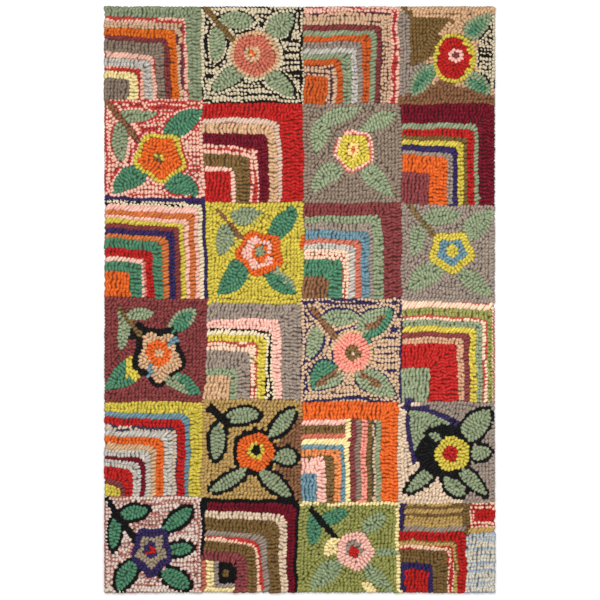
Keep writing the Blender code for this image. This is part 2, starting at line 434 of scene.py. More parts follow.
        ("black", bloom(55, 51, 10, 9, 36, 0.07)),
    ), "shapes": (
        ("black", stem(6, 5, 28, 27, 8)),
        ("sage", leaf(20, 18, 59, 14, 16), leaf(16, 23, 13, 62, 15, bow=-1, fullest=0.45),
         leaf(94, 7, 67, 39, 14, fullest=0.55), leaf(97, 55, 73, 60, 17, fullest=0.4),
         leaf(47, 71, 9, 94, 13, fullest=0.4), leaf(59, 71, 91, 99, 15)),
    ), "grounds": (
        ("brown", places("101,12 79,39 75,47 102,56 102,64 73,68 97,102 102,102")),
        ("black", places("15,16 28,17 28,26 14,20"), bloom(54, 53, 46, 48, 24, 0.03)),
    )},
    {"from": (1, 1), "fill": "blue", "bands": (
        ("orange", 19.5, 18.7, 81, 19, 81.3, 81), (None, 38, 38, 50, 38, 50, 50),
        ("paleYellow", 43.7, 44, 44.5, 44, 45.5, 44.5), ("blue", 48.5, 48.5, 41, 48.5, 41.5, 39.5),
        ("apricot", 56.5, 55.5, 34.5, 53.5, 34.5, 33), ("oliveBrown", 57, 57, 24.8, 53.7, 26, 26),
        ("pink", 74, 73.5, 16, 73, 17, 17),
    ), "boxes": (
        ("sage", "upright", 76, 19.5, 81, 100), ("creamGreen", "upright", 71.7, 19.5, 76, 100),
        ("oliveBrown", "upright", 67.2, 19.5, 71.7, 100), ("salmon", "upright", 61, 19, 67.2, 100),
        ("darkTaupe", "upright", 55.7, 19, 61, 100), ("maroon", "upright", 50, 19, 55.7, 100),
        ("paleYellow", "upright", 44.5, 18.7, 50, 39), ("pink", "level", 0, 19.5, 44.5, 24.3),
        ("oliveBrown", "level", 0, 24.3, 44.5, 33), ("coral", "level", 0, 33, 44.5, 38),
    )},
    {"from": (-2, 0.5), "ground": "peachCream", "outline": ("black", 3.2, "sage"), "rings": (
        ("mustard", bloom(55, 53, 36, 35, 60, 0.06)), ("red", bloom(53, 53, 16, 16, 27, 0.02)),
    ), "shapes": (
        ("navy", stem(3, 4, 61, 23, 5, bow=-3), stem(17, 64, 7, 4, 5, bow=-2)),
        ("sage", places("8,6 57,23 31,24 28,30 17,50 11,40"), leaf(25, 28, 45, 39, 8, fullest=0.7)),
        ("black", leaf(78, 54, 16, 53, 53, bow=4)),
        ("sage", leaf(95, 8, 64, 41, 24), leaf(73, 53, 97, 50, 15, fullest=0.4),
         leaf(63, 68, 91, 95, 14, fullest=0.35), leaf(44, 77, 68, 96, 14), leaf(44, 60, 5, 92, 13)),
    ), "grounds": (
        ("taupe", places("12,-3 102,-3 102,102 68,102 60,93 70,60 60,40 62,21 30,7")),
        ("sage", places("8,6 57,23 31,26 17,50 11,46")), ("black", bloom(47, 50, 55, 54, 36, 0.06)),
    )},
    # The sixth row
    {"ground": "pinkBeige", "outline": ("black", 3.2, "emerald"), "rings": (
        ("navy", bloom(49, 56, 41, 50, 36)), ("greyOlive", bloom(49, 56, 29, 32, 36, 0.16)),
        ("navy", bloom(48, 55, 14, 18, 39, 0.01)), ("red", leaf(42, 57, 54, 53, 9, fullest=0.65)),
    ), "shapes": (
        ("black", stem(3, 2, 32, 46, 7, flare=-1)),
        ("emerald", leaf(48, 12, 15, 21, 14, fullest=0.55), leaf(13, 19, 9, 56, 12, fullest=0.45),
         leaf(92, 12, 59, 37, 13, fullest=0.45), leaf(66, 56, 93, 53, 13, fullest=0.45),
         leaf(32, 66, 14, 97, 18, fullest=0.45), leaf(58, 76, 90, 95, 17, bow=-1)),
    )},
    {"from": (0, 1), "bend": 10, "bands": (
        ("black", 4.7, 4.5, 95.5, 6.5, 95.5, 95.5), ("wine", 15, 13.8, 87, 18.5, 88, 89),
        ("peachCream", 22, 21.7, 79.5, 24.7, 80, 82), ("oliveBrown", 34.5, 35.5, 66, 38, 69, 70),
        ("taupe", 41.5, 40.5, 60, 45, 63, 63.5), ("redCandy", 46, 46.3, 57, 51, 57.5, 56.5),
        ("oliveBrown", 56.5, 56.5, 47, 58.5, 48, 47), ("paleMaroon", 66.5, 66.3, 36.5, 69, 37, 34.5),
    ), "boxes": (
        ("coral", "upright", 1, 67, 5.7, 96), ("paleYellow", "upright", 5.7, 67, 13.5, 96),
        ("taupe", "upright", 13.5, 66.5, 18.5, 91), ("paleYellow", "level", 4, 95.5, 34.5, 100),
        ("black", "level", 18.5, 67.5, 36.5, 90), ("taupe", "level", 16, 90, 34.5, 95.5),
    ), "patches": (
        ("black", stem(2, 3, 1, 63, 7, flare=-1)), ("oliveBrown", stem(27, 76, 26, 82, 5)),
    )},
    {"from": (-1.5, 2), "ground": "moss", "rings": (
        ("pink", bloom(56, 54, 36, 41, 27, 0.05)), ("taupe", bloom(55, 53, 17, 20, 27, 0.02)),
        ("red", bloom(54, 55, 10, 12, 9, 0.05)),
    ), "shapes": (
        ("black", stem(8, 9, 39, 41, 6)),
        ("emerald", leaf(22, 21, 49, 12, 16, fullest=0.35), leaf(10, 17, 13, 51, 14, bow=-3)),
        ("palerSage", leaf(87, 16, 62, 33, 19, fullest=0.55), leaf(99, 56, 74, 57, 10, fullest=0.6),
         leaf(40, 64, 10, 99, 21, fullest=0.3), leaf(65, 70, 94, 102, 15, fullest=0.3)),
        ("paleYellow", leaf(39, 39, 26, 61, 15, fullest=0.4), leaf(63, 87, 74, 102, 10, fullest=0.4)),
    ), "grounds": (
        ("paleYellow", places("-1,9 -1,3 102,0 102,102 96,102 96,5 14,4")),
    )},
    {"from": (0, 3), "fill": "red", "bands": (
        (None, 33, 32.5, 68.7, 33.5, 69, 69.5), ("red", 43.5, 42.5, 60.5, 44, 60, 61),
        ("goldBrown", 48.5, 47.5, 55.5, 48.5, 56, 56.5), ("redCandy", 53, 52.5, 49.5, 52.5, 49, 50),
        ("oliveBrown", 67, 67.3, 33, 67.5, 34, 35), ("navy", 75.5, 75, 29.5, 75.5, 29.7, 30),
    ), "boxes": (
        ("red", "level", 80, 10, 100, 22.5), ("redCandy", "level", 74, 2, 100, 10),
        ("redCandy", "upright", 74, 9, 80.3, 24), ("redCandy", "level", 74, 22.5, 100, 29.5),
        ("goldBrown", "level", 71, 29.5, 100, 35), ("silverBlue", "level", 69.5, 35, 100, 100),
        ("oliveBrown", "upright", 66.5, 0, 74, 35), ("camel", "level", 5, 1, 66.5, 5.2),
        ("oliveBrown", "level", 5, 5.2, 66.5, 8.2), ("camel", "level", 5, 8.2, 66.5, 13.3),
        ("oliveBrown", "level", 5, 13.3, 66.5, 15.9), ("goldBrown", "level", 5, 15.9, 66.5, 19.7),
        ("camel", "level", 5, 19.7, 66.5, 23.7), ("goldBrown", "level", 5, 23.7, 66.5, 27.5),
        ("taupe", "level", 1, 27.5, 69, 33),
    ), "patches": (
        ("navy", stem(2, 1, 2, 33, 7, flare=1), bloom(1, 85, 8, 38, 60, 0.04)),
    )},
)


# Where two seams cross, in blocks from the rug's top left
def crossing(column, row):
    x, y = float(column), float(row)
    if 0 < column < rug["blocksAcross"]:
        beside = [seams[column - 1] for seams in rug["uprightSeams"][max(0, row - 1):row + 1]]
        x += sum(beside) / len(beside) / 100.0
    if 0 < row < rug["blocksAlong"]:
        beside = [seams[row - 1] for seams in rug["levelSeams"][max(0, column - 1):column + 1]]
        y += sum(beside) / len(beside) / 100.0
    return x, y


# Share of a side's draw at a place from 0 to 1 along it, as on the frame
def drawnIn(place, bays):
    wave = rug["drawWave"]
    return math.sin(math.pi * place) * (1.0 - wave + wave * math.cos(math.tau * bays * place))


# How far a place strays from true, in blocks
def wobble(waves, x, y):
    return rug["wobble"] / 100.0 * sum(
        share * math.sin(overX * x + overY * y + start) for share, overX, overY, start in waves)


# A chart place in metres: the block's four crossings, the hooker's wobble, and the drawn-in sides
def onRug(column, row, u, v):
    s, t = u / 100.0, v / 100.0
    x, y = 0.0, 0.0
    shares = ((0, 0, (1 - s) * (1 - t)), (1, 0, s * (1 - t)), (0, 1, (1 - s) * t), (1, 1, s * t))
    for across, down, share in shares:
        cx, cy = crossing(column + across, row + down)
        x += share * cx
        y += share * cy
    calm = [min(1.0, rug["calmEdge"] * place, rug["calmEdge"] * (blocks - place))
            for place, blocks in ((x, rug["blocksAcross"]), (y, rug["blocksAlong"]))]
    sideways, along = rug["wobbleWaves"]
    x += calm[0] * wobble(sideways, x, y)
    y += calm[1] * wobble(along, x, y)
    across, along = x / rug["blocksAcross"], 1.0 - y / rug["blocksAlong"]
    narrow = 1.0 - rug["sideDraw"] * drawnIn(along, rug["blocksAlong"]) / cadHigh.x
    short = 1.0 - rug["sideDraw"] * drawnIn(across, rug["blocksAcross"]) / cadHigh.y
    return (cadLow.x + x * blockSide) * narrow, (cadHigh.y - y * blockSide) * short


# A line of points, walked from its first one
class Line:
    def __init__(self, points):
        self.points = points
        self.lengths = [math.dist(a, b) for a, b in zip(points, points[1:])]
        self.total = sum(self.lengths)

    # The place at a distance along the line, and the way that the line heads there
    def at(self, distance):
        left = min(max(distance, 0.0), self.total)
        last = len(self.lengths) - 1
        for index, length in enumerate(self.lengths):
            if left <= length or index == last:
                (u0, v0), (u1, v1) = self.points[index], self.points[index + 1]
                share = min(1.0, left / max(length, 1e-6))
                return (u0 + share * (u1 - u0), v0 + share * (v1 - v0)), math.atan2(v1 - v0, u1 - u0)
            left -= length


# Whether a place lies inside an outline
def within(u, v, outline):
    inside = False
    for (u0, v0), (u1, v1) in zip(outline, outline[1:] + outline[:1]):
        if (v0 > v) != (v1 > v) and u < u0 + (v - v0) * (u1 - u0) / (v1 - v0):
            inside = not inside
    return inside


# A closed line at some depth inside an outline, or outside it where the depth is negative
def insetLine(outline, depth):
    a = np.array(outline)
    b = np.roll(a, -1, axis=0)
    turning = np.sum(a[:, 0] * b[:, 1] - b[:, 0] * a[:, 1])
    side = b - np.roll(a, 1, axis=0)
    inward = np.stack((-side[:, 1], side[:, 0]), axis=1) * math.copysign(1.0, turning)
    inward /= np.maximum(np.linalg.norm(inward, axis=1, keepdims=True), 1e-6)
    kept = []
    span = np.maximum(np.sum((b - a) ** 2, axis=1), 1e-9)
    for place in a + depth * inward:
        share = np.clip(np.sum((place - a) * (b - a), axis=1) / span, 0.0, 1.0)
        nearest = np.linalg.norm(a + share[:, None] * (b - a) - place, axis=1).min()
        if nearest > abs(depth) * pile["insetKept"]:
            kept.append(tuple(place))
    return kept + kept[:1]


# A marl's second strand keeps to one end of the loops for a run of them, and comes and goes
class Strand:
    def __init__(self):
        self.end = chance.choice((0.0, 0.5))
        self.amount = chance.random()

    def next(self):
        if chance.random() < pile["run"]:
            self.end = 0.5 - self.end
        self.amount = min(1.0, max(0.0, self.amount + chance.gauss(0.0, pile["amountSpread"])))
        return (self.end + chance.gauss(0.0, pile["phaseSpread"])) % 1.0, self.amount


# The way that a loop lies across a row which heads some way
def acrossRow(heading):
    slant = 0.5 * (pile["slantLevel"] + pile["slantUpright"])
    slant += 0.5 * (pile["slantLevel"] - pile["slantUpright"]) * math.cos(2.0 * heading)
    angle = heading + 0.5 * math.pi + math.radians(slant)
    return math.cos(angle), math.sin(angle)


# The loops of one block as they are hooked, each from one end to the other across its row
class Hooking:
    def __init__(self, area):
        self.area = area        # left, top, right, bottom
        self.loops = []

    # How far apart places are from loops, where 1 is side by side in a row or end to end across rows
    def distances(self, u, v, du, dv, width):
        made = np.array([[loop[key] for key in ("u", "v", "du", "dv", "width")] for loop in self.loops])
        if not len(made):
            return np.array([math.inf])
        offU, offV = u - made[:, 0], v - made[:, 1]
        length = 0.5 * (width + made[:, 4])
        total = 0.0
        for dirU, dirV in ((du, dv), (made[:, 2], made[:, 3])):
            along = offU * dirU + offV * dirV
            aside = offV * dirU - offU * dirV
            total = total + 0.5 * ((aside / pile["pitch"]) ** 2 + (along / length) ** 2)
        return np.sqrt(total)

    def hook(self, start, end, heading, yarn, strand, part="row"):
        width = max(math.dist(start, end), 1.0)
        du, dv = (end[0] - start[0]) / width, (end[1] - start[1]) / width
        reach = chance.gauss(0.0, pile["reachSpread"])
        u, v = 0.5 * (start[0] + end[0]) + reach * du, 0.5 * (start[1] + end[1]) + reach * dv
        left, top, right, bottom = self.area
        if not (left <= u <= right and top <= v <= bottom):
            return
        self.loops.append({
            "u": u, "v": v, "du": du, "dv": dv,
            "width": width, "heading": heading, "yarn": yarn, "strand": strand, "part": part,
        })

    # One row along a line, which leaves out loops where it is crowded
    def row(self, points, yarn, width, part="row"):
        if len(points) < 3 and math.dist(points[0], points[-1]) < 1.0:
            return
        line, strand = Line(points), Strand()
        count = max(1, round(line.total / pile["pitch"]))
        waves = [(*turnWave, chance.uniform(0.0, math.tau)) for turnWave in pile["turnWaves"]]
        for number in range(count):
            along = (number + 0.5) * line.total / count
            (u, v), heading = line.at(along)
            du, dv = acrossRow(heading)
            turn = math.radians(chance.gauss(0.0, pile["turnSpread"]))
            turn += sum(far * math.sin(fast * along + start) for far, fast, start in waves)
            du, dv = du * math.cos(turn) - dv * math.sin(turn), du * math.sin(turn) + dv * math.cos(turn)
            state = strand.next()
            if self.distances(u, v, du, dv, width).min() < pile["snug"]:
                continue
            half = 0.5 * width
            start, end = (u + du * half, v + dv * half), (u - du * half, v - dv * half)
            self.hook(start, end, heading, yarn, state, part)

    # Rows side by side between lines that start at the same end. Their loops stand in ribs that sway.
    def band(self, lines, yarn):
        rows = len(lines) - 1
        pitch = pile["pitch"] * chance.uniform(1.0 - pile["pitchSpread"], 1.0 + pile["pitchSpread"])
        starts = [[chance.uniform(0.0, math.tau) for _ in range(3)] for _ in lines]
        far, fast = pile["quickWave"]
        for row in range(rows):
            outer, inner = lines[row], lines[row + 1]
            length = 0.5 * (outer.total + inner.total)
            if length < pile["shortestRow"]:
                continue
            count = max(1, round(length / pitch))
            leftOver = length - count * pitch
            strand = Strand()
            for number in range(count):
                late = max(0.0, 1.0 - (count - 1 - number) / pile["catchUp"])
                along = (number + 0.5) * pitch + leftOver * late
                (u0, v0), heading = outer.at(along)
                (u1, v1), _ = inner.at(along)
                width = max(math.dist((u0, v0), (u1, v1)), 0.5)
                du, dv = acrossRow(heading)
                crossU, crossV = (u1 - u0) / width, (v1 - v0) / width
                square = du * crossU + dv * crossV
                slope = du * math.cos(heading) + dv * math.sin(heading)
                slope /= square if abs(square) > pile["leastSquare"] else 1.0
                slope = max(-pile["steepest"], min(pile["steepest"], slope))
                slope *= 1.0 if rows == 1 else pile["ribSlant"]
                ends = []
                for knot, line in ((row, outer), (row + 1, inner)):
                    shift = slope * (knot - 0.5 * rows) * width
                    *slow, quick = starts[knot]
                    if rows > 1:
                        shift += pile["sway"] * sum(share * math.sin(over * along + start)
                                                    for (share, over), start in zip(pile["ribWaves"], slow))
                    shift += far * math.sin(fast * along + quick) + chance.gauss(0.0, pile["placeSpread"])
                    shift += (-1.0) ** knot * 0.5 * width * math.tan(math.radians(pile["zigzag"]))
                    ends.append(line.at(along + shift)[0])
                self.hook(ends[0], ends[1], heading, yarn, strand.next())

    # Fills an outline with rows that follow it inwards
    def fillOutline(self, outline, yarn, part):
        step = pile["shapeStep"] * pile["rowStep"]
        depth = 0.5 * step
        while True:
            line = insetLine(outline, depth)
            if len(line) < 4:
                break
            self.row(line, yarn, pile["rowStep"], part)
            depth += step

    # Where the pile is thin, loops of the nearest yarn are squeezed in
    def fillGaps(self):
        left, top, right, bottom = self.area
        columns = np.arange(left + 1.0, right, pile["gapStep"])
        rows = np.arange(top + 1.0, bottom, pile["gapStep"])
        u, v = (grid.ravel() for grid in np.meshgrid(columns, rows))
        nearest = np.full(len(u), math.inf)
        closest = np.zeros(len(u), dtype=int)

        def update(index):
            loop = self.loops[index]
            offU, offV = u - loop["u"], v - loop["v"]
            along = offU * loop["du"] + offV * loop["dv"]
            aside = offV * loop["du"] - offU * loop["dv"]
            gap = np.sqrt((aside / pile["pitch"]) ** 2 + (along / loop["width"]) ** 2)
            closest[gap < nearest] = index
            np.minimum(nearest, gap, out=nearest)

        for index in range(len(self.loops)):
            update(index)
        while nearest.max() > pile["gap"]:
            place = int(nearest.argmax())
            near = self.loops[closest[place]]
            half = 0.5 * pile["rowStep"]
            start = (u[place] - near["du"] * half, v[place] - near["dv"] * half)
            end = (u[place] + near["du"] * half, v[place] + near["dv"] * half)
            self.hook(start, end, near["heading"], near["yarn"], near["strand"], "gap")
            update(len(self.loops) - 1)


# How many rows fit a width
def rowsIn(width):
    return max(1, round(width / pile["rowStep"]))


# A smooth value through three places along a line, at a share of its length
def throughThree(first, middle, last, share):
    bow = 2.0 * share * share * (first + last - 2.0 * middle)
    return first + share * (4.0 * middle - 3.0 * first - last) + bow


# The two legs of a corner edge, along the top from the left and up the right from the bottom. They meet in
# the middle of its rounded corner.
def cornerLegs(edge, area, bend):
    left, _, _, bottom = area
    vLeft, vMiddle, cornerU, cornerV, uMiddle, uBottom = edge
    wide, tall = max(cornerU - left, 0.1), max(bottom - cornerV, 0.1)
    most = pile["mostBend"]
    bend = max(0.01, min(bend * min(1.0, cornerV / pile["fullBend"]), most * wide, most * tall))
    steps, turns = pile["lineSteps"], pile["cornerSteps"]
    top, right, arc = [], [], []
    for step in range(steps + 1):
        share = step * (1.0 - bend / wide) / steps
        top.append((left + wide * share, throughThree(vLeft, vMiddle, cornerV, share)))
        share = 1.0 - step * (1.0 - bend / tall) / steps
        right.append((throughThree(cornerU, uMiddle, uBottom, share), cornerV + tall * share))
    (u0, v0), (u1, v1) = top[-1], right[-1]
    for step in range(1, turns):
        angle = 0.5 * math.pi * step / turns
        arc.append((u0 + (u1 - u0) * math.sin(angle), v1 + (v0 - v1) * math.cos(angle)))
    middle = turns // 2
    return Line(top + arc[:middle]), Line(right + arc[middle - 1:][::-1])


# An edge part of the way from one edge to another
def between(first, second, share):
    return tuple(a + share * (b - a) for a, b in zip(first, second))


# Each outline of one of a block's lists, with its yarn
def outlinesOf(block, key):
    return [(yarn, outline) for yarn, *outlines in block.get(key, ()) for outline in outlines]


def layBands(hooking, block):
    left, top, right, bottom = hooking.area
    bend = block.get("bend", pile["cornerBend"])
    outer = (top, top, right, top, right, right)
    for yarn, *inner in block["bands"]:
        if yarn:
            for leg, place in ((0, 1), (1, 4)):
                rows = rowsIn(abs(inner[place] - outer[place]))
                edges = [between(outer, inner, number / rows) for number in range(rows + 1)]
                hooking.band([cornerLegs(edge, hooking.area, bend)[leg] for edge in edges], yarn)
        outer = inner
    for yarn, way, boxLeft, boxTop, boxRight, boxBottom in block.get("boxes", ()):
        level = way == "level"
        rows = rowsIn(boxBottom - boxTop if level else boxRight - boxLeft)
        lines = []
        for number in range(rows + 1):
            share = number / rows
            u, v = boxRight + share * (boxLeft - boxRight), boxTop + share * (boxBottom - boxTop)
            lines.append(Line([(boxLeft, v), (boxRight, v)] if level else [(u, boxBottom), (u, boxTop)]))
        hooking.band(lines, yarn)
    if "fill" in block:
        vLeft, vMiddle, cornerU, cornerV, uMiddle, uBottom = outer
        rows, steps = rowsIn(bottom - vMiddle), pile["lineSteps"]
        lines = []
        for number in range(rows + 1):
            down = number / rows
            far = throughThree(cornerU, uMiddle, uBottom, down)
            points = []
            for step in range(steps + 1):
                v = throughThree(vLeft, vMiddle, cornerV, step / steps)
                points.append((left + step / steps * (far - left), v + down * (bottom - v)))
            lines.append(Line(points))
        hooking.band(lines, block["fill"])


# A flower's ground is hooked last, in rows round everything that is there and then level ones
def layFlower(hooking, block):
    left, top, right, bottom = hooking.area
    step = pile["rowStep"]
    rings, shapes, parts = (outlinesOf(block, key) for key in ("rings", "shapes", "grounds"))
    for yarn, outline in rings[::-1]:
        hooking.fillOutline(outline, yarn, "ring")
    for yarn, outline in shapes:
        hooking.fillOutline(outline, yarn, "shape")
    if "outline" in block:
        yarn, width, outlined = block["outline"]
        for shape, outline in shapes:
            if shape == outlined:
                hooking.row(insetLine(outline, -0.5 * width), yarn, width, "outline")
    ground = block["ground"]
    half = 0.5 * step
    corners = [(left + half, top + half), (right - half, top + half), (right - half, bottom - half),
               (left + half, bottom - half)]
    for ends in zip(corners, corners[1:] + corners[:1]):
        hooking.row(ends, ground, step, "ground")
    for _, outline in rings[:1] + shapes:
        hooking.row(insetLine(outline, -half), ground, step, "ground")
    rows = rowsIn(bottom - top)
    for number in range(rows):
        v = top + (number + 0.5) * (bottom - top) / rows
        hooking.row([(left, v), (right, v)], ground, step, "ground")
    hooking.fillGaps()
    # a loop takes the yarn of the last area that it stands in
    for loop in hooking.loops:
        areas = rings
        if loop["part"] in ("ground", "gap"):
            loop["yarn"] = ground
            areas = parts + shapes[::-1] + rings
        for area in areas:
            if within(loop["u"], loop["v"], area[1]):
                loop["yarn"] = area[0]
                loop["part"] = "ground" if area in parts else "shape"


# How far off its place a block begins. Past the last ones lies the rug's edge.
def offPlace(column, row):
    if column < rug["blocksAcross"] and row < rug["blocksAlong"]:
        return chart[row * rug["blocksAcross"] + column].get("from", (0, 0))
    return 0, 0


# Every loop of the rug in metres, grouped by yarn
def hookRug():
    byYarn = {name: [] for name in (*plainYarns, *marls)}
    for index, block in enumerate(chart):
        row, column = divmod(index, rug["blocksAcross"])
        right, bottom = 100 + offPlace(column + 1, row)[0], 100 + offPlace(column, row + 1)[1]
        hooking = Hooking((*offPlace(column, row), right, bottom))
        if "bands" in block:
            layBands(hooking, block)
            hooking.fillGaps()
        else:
            layFlower(hooking, block)
        for yarn, outline in outlinesOf(block, "patches"):
            for loop in hooking.loops:
                if loop["part"] not in ("ground", "outline") and within(loop["u"], loop["v"], outline):
                    loop["yarn"] = yarn
        for loop in hooking.loops:
            byYarn[loop["yarn"]].append(placeLoop(column, row, loop, rug["lots"][row][column]))
    return byYarn


# The nearest place within the rug's drawn-in outline, for a loop of some size that is turned some way
def inside(x, y, wide, halfX=0.0, halfY=0.0, angle=0.0):
    stray = chance.uniform(0.0, pile["edgeStray"])
    marginX = cadHigh.x - rug["sideDraw"] * drawnIn(0.5 + 0.5 * y / cadHigh.y, rug["blocksAlong"])
    marginY = cadHigh.y - rug["sideDraw"] * drawnIn(0.5 + 0.5 * x / cadHigh.x, rug["blocksAcross"])
    marginX -= stray + halfX + wide * abs(math.sin(angle))
    marginY -= stray + halfY + wide * abs(math.cos(angle))
    return max(-marginX, min(marginX, x)), max(-marginY, min(marginY, y))


# One loop in metres: where it stands, how it is turned, and its size
def placeLoop(column, row, loop, lot):
    smallest, largest = 1.0 - pile["sizeSpread"], 1.0 + pile["sizeSpread"]
    half = 0.5 * max(pile["overlap"] * loop["width"], pile["shortest"]) * chance.uniform(smallest, largest)
    wide = 0.5 * pile["pitch"] * unit * chance.uniform(smallest, largest)
    ends = []
    for way in (-1.0, 1.0):
        u, v = loop["u"] + way * half * loop["du"], loop["v"] + way * half * loop["dv"]
        ends.append(inside(*onRug(column, row, u, v), 0.0))
    (x0, y0), (x1, y1) = ends
    angle = math.atan2(y1 - y0, x1 - x0)
    halfX, halfY = 0.5 * abs(x1 - x0), 0.5 * abs(y1 - y0)
    x, y = inside(0.5 * (x0 + x1), 0.5 * (y0 + y1), wide, halfX, halfY, angle)
    heading = loop["heading"]
    aheadX, aheadY = onRug(column, row, loop["u"] + math.cos(heading), loop["v"] + math.sin(heading))
    hereX, hereY = onRug(column, row, loop["u"], loop["v"])
    phase, amount = loop["strand"]
    darkest, lightest = finish["tones"]
    placed = {
        "x": x, "y": y, "angle": angle, "halfSpan": math.hypot(halfX, halfY), "wide": wide,
        "along": math.atan2(aheadY - hereY, aheadX - hereX), "width": loop["width"] * unit,
        "drop": abs(chance.gauss(0.0, pile["heightSpread"])), "lean": chance.gauss(0.0, pile["leanSpread"]),
        "phase": phase, "amount": amount,
    }
    tone = 0.5 + (lot - 1.0) / (lightest - darkest) + chance.gauss(0.0, pile["toneSpread"])
    placed["tone"] = min(1.0, max(0.0, tone))
    return placed


# The quads of one loop, and the places of their corners around the yarn and along it
def loopFaces():
    across = len(pile["section"])
    faces, places = [], []
    for ring in range(len(pile["rings"]) - 1):
        v0, v1 = (0.5 + 0.5 * pile["rings"][place][0] for place in (ring, ring + 1))
        for side in range(across - 1):
            first = ring * across + side
            faces.append((first, first + across, first + across + 1, first + 1))
            u0, u1 = side / (across - 1), (side + 1) / (across - 1)
            places.append(((u0, v0), (u0, v1), (u1, v1), (u1, v0)))
    return np.array(faces), np.array(places)


# One value of each loop, as an array to reckon with
def each(loops, key):
    return np.array([loop[key] for loop in loops])[:, None, None]


def loopPoints(loops):
    place, arch, narrow = (np.array(values)[None, :, None] for values in zip(*pile["rings"]))
    sideways, lift = (np.array(values)[None, None, :] for values in zip(*pile["section"]))
    base = foundation["top"] - pile["footDepth"]
    height = (cadHigh.z - base - each(loops, "drop")) * arch * lift
    span = place * each(loops, "halfSpan") * (1.0 - pile["tuck"] * (1.0 - lift))
    aside = each(loops, "wide") * narrow * sideways + each(loops, "lean") * height
    cosine, sine = np.cos(each(loops, "angle")), np.sin(each(loops, "angle"))
    x = each(loops, "x") + span * cosine - aside * sine
    y = each(loops, "y") + span * sine + aside * cosine
    x, y, height = np.broadcast_arrays(x, y, height)
    return np.stack((x, y, base + height), axis=-1).reshape(-1, 3)


# The flat stitch on the back between a loop and the next one of its row. Lengths without a unit are shares.
stitch = {
    "halfLength": 0.52,         # of the pitch
    "halfWidth": 0.36,          # of the row's width
    "shrink": 0.62,             # of its size that the bottom has
    "bottom": 0.0001,           # metres above the floor
    "sunk": 0.0002,             # metres that its top goes up into the cloth
    "hemClear": 0.003,          # metres that it keeps from the hem
    "inner": (0.2, 0.8),        # where its bottom lies on its map
}
stitchFaces = np.array(((0, 1, 5, 4), (1, 2, 6, 5), (2, 3, 7, 6), (3, 0, 4, 7), (7, 4, 5, 6)))
squareCorners = ((0, 0), (1, 0), (1, 1), (0, 1))


# Where the corners of its quads lie on its map
def stitchMap():
    low, high = stitch["inner"]
    places = [(first + u * (last - first), first + v * (last - first))
              for first, last in ((0.0, 1.0), (low, high)) for u, v in squareCorners]
    return np.array([[places[index] for index in face] for face in stitchFaces])


def stitchPoints(loops):
    cosine, sine = np.cos(each(loops, "along")), np.sin(each(loops, "along"))
    half = stitch["halfLength"] * pile["pitch"] * unit
    wide = stitch["halfWidth"] * each(loops, "width")
    u, v = (2.0 * np.array(squareCorners) - 1.0).T
    top = foundation["top"] - foundation["thickness"] + stitch["sunk"]
    points = []
    for height, size in ((top, 1.0), (stitch["bottom"], stitch["shrink"])):
        along, across = half * size * u + half, wide * size * v
        x = each(loops, "x") + along * cosine - across * sine
        y = each(loops, "y") + along * sine + across * cosine
        points.append(np.stack((x, y, np.full_like(x, height)), axis=-1))
    return np.concatenate(points, axis=2).reshape(-1, 3)


# Turns arrays of points and faces into a mesh object, with a map for baking and one along the yarn
def arrayObject(name, points, faces, bakeMap, yarnMap, facts):
    mesh = bpy.data.meshes.new(name)
    mesh.vertices.add(len(points))
    mesh.vertices.foreach_set("co", points.astype(np.float32).ravel())
    mesh.loops.add(faces.size)
    mesh.loops.foreach_set("vertex_index", faces.astype(np.int32).ravel())
    mesh.polygons.add(len(faces))
    mesh.polygons.foreach_set("loop_start", np.arange(0, faces.size, 4, dtype=np.int32))
    mesh.polygons.foreach_set("use_smooth", np.ones(len(faces), dtype=bool))
    for title, places in (("OFBake", bakeMap), ("yarn", yarnMap)):
        layer = mesh.uv_layers.new(name=title)
        layer.uv.foreach_set("vector", places.astype(np.float32).ravel())
    loopFacts = mesh.attributes.new("loop", "FLOAT_VECTOR", "POINT")
    loopFacts.data.foreach_set("vector", facts.astype(np.float32).ravel())
    mesh.update()
    mesh.validate()
    made = bpy.data.objects.new(name, mesh)
    bpy.context.scene.collection.objects.link(made)
    return made


# Every loop has a square cell of the bake map, most of it for its tube and a strip for its stitch. Each is a
# corner and a size, as shares of the cell.
bakeCell = {"tube": ((0.03, 0.03), (0.94, 0.74)), "stitch": ((0.03, 0.82), (0.94, 0.15))}


# All loops of one yarn, with their stitches on the back except near the hem
def pilePiece(name, loops):
    edge = foundation["hemWidth"] + foundation["setback"] + stitch["hemClear"]
    backed = [index for index, loop in enumerate(loops)
              if abs(loop["x"]) < cadHigh.x - edge and abs(loop["y"]) < cadHigh.y - edge]
    facts = np.array([(loop["tone"], loop["phase"], loop["amount"]) for loop in loops])
    grid = math.ceil(math.sqrt(len(loops)))
    cell = np.stack((np.arange(len(loops)) % grid, np.arange(len(loops)) // grid), axis=-1)[:, None, None, :]
    first = 0
    parts = []
    for part, chosen in (("tube", list(range(len(loops)))), ("stitch", backed)):
        if not chosen:
            continue
        some = [loops[index] for index in chosen]
        points = loopPoints(some) if part == "tube" else stitchPoints(some)
        faces, places = loopFaces() if part == "tube" else (stitchFaces, stitchMap())
        perLoop = len(points) // len(chosen)
        starts = first + perLoop * np.arange(len(chosen))[:, None, None]
        corner, size = (np.array(values) for values in bakeCell[part])
        bake = (cell[chosen] + corner + places[None] * size) / grid
        along = np.tile(places, (len(chosen), 1, 1))
        parts.append((points, (faces[None] + starts).reshape(-1, 4), bake.reshape(-1, 2),
                      along.reshape(-1, 2), np.repeat(facts[chosen], perLoop, axis=0)))
        first += len(points)
    return arrayObject("pile_" + name, *(np.concatenate(arrays) for arrays in zip(*parts)))


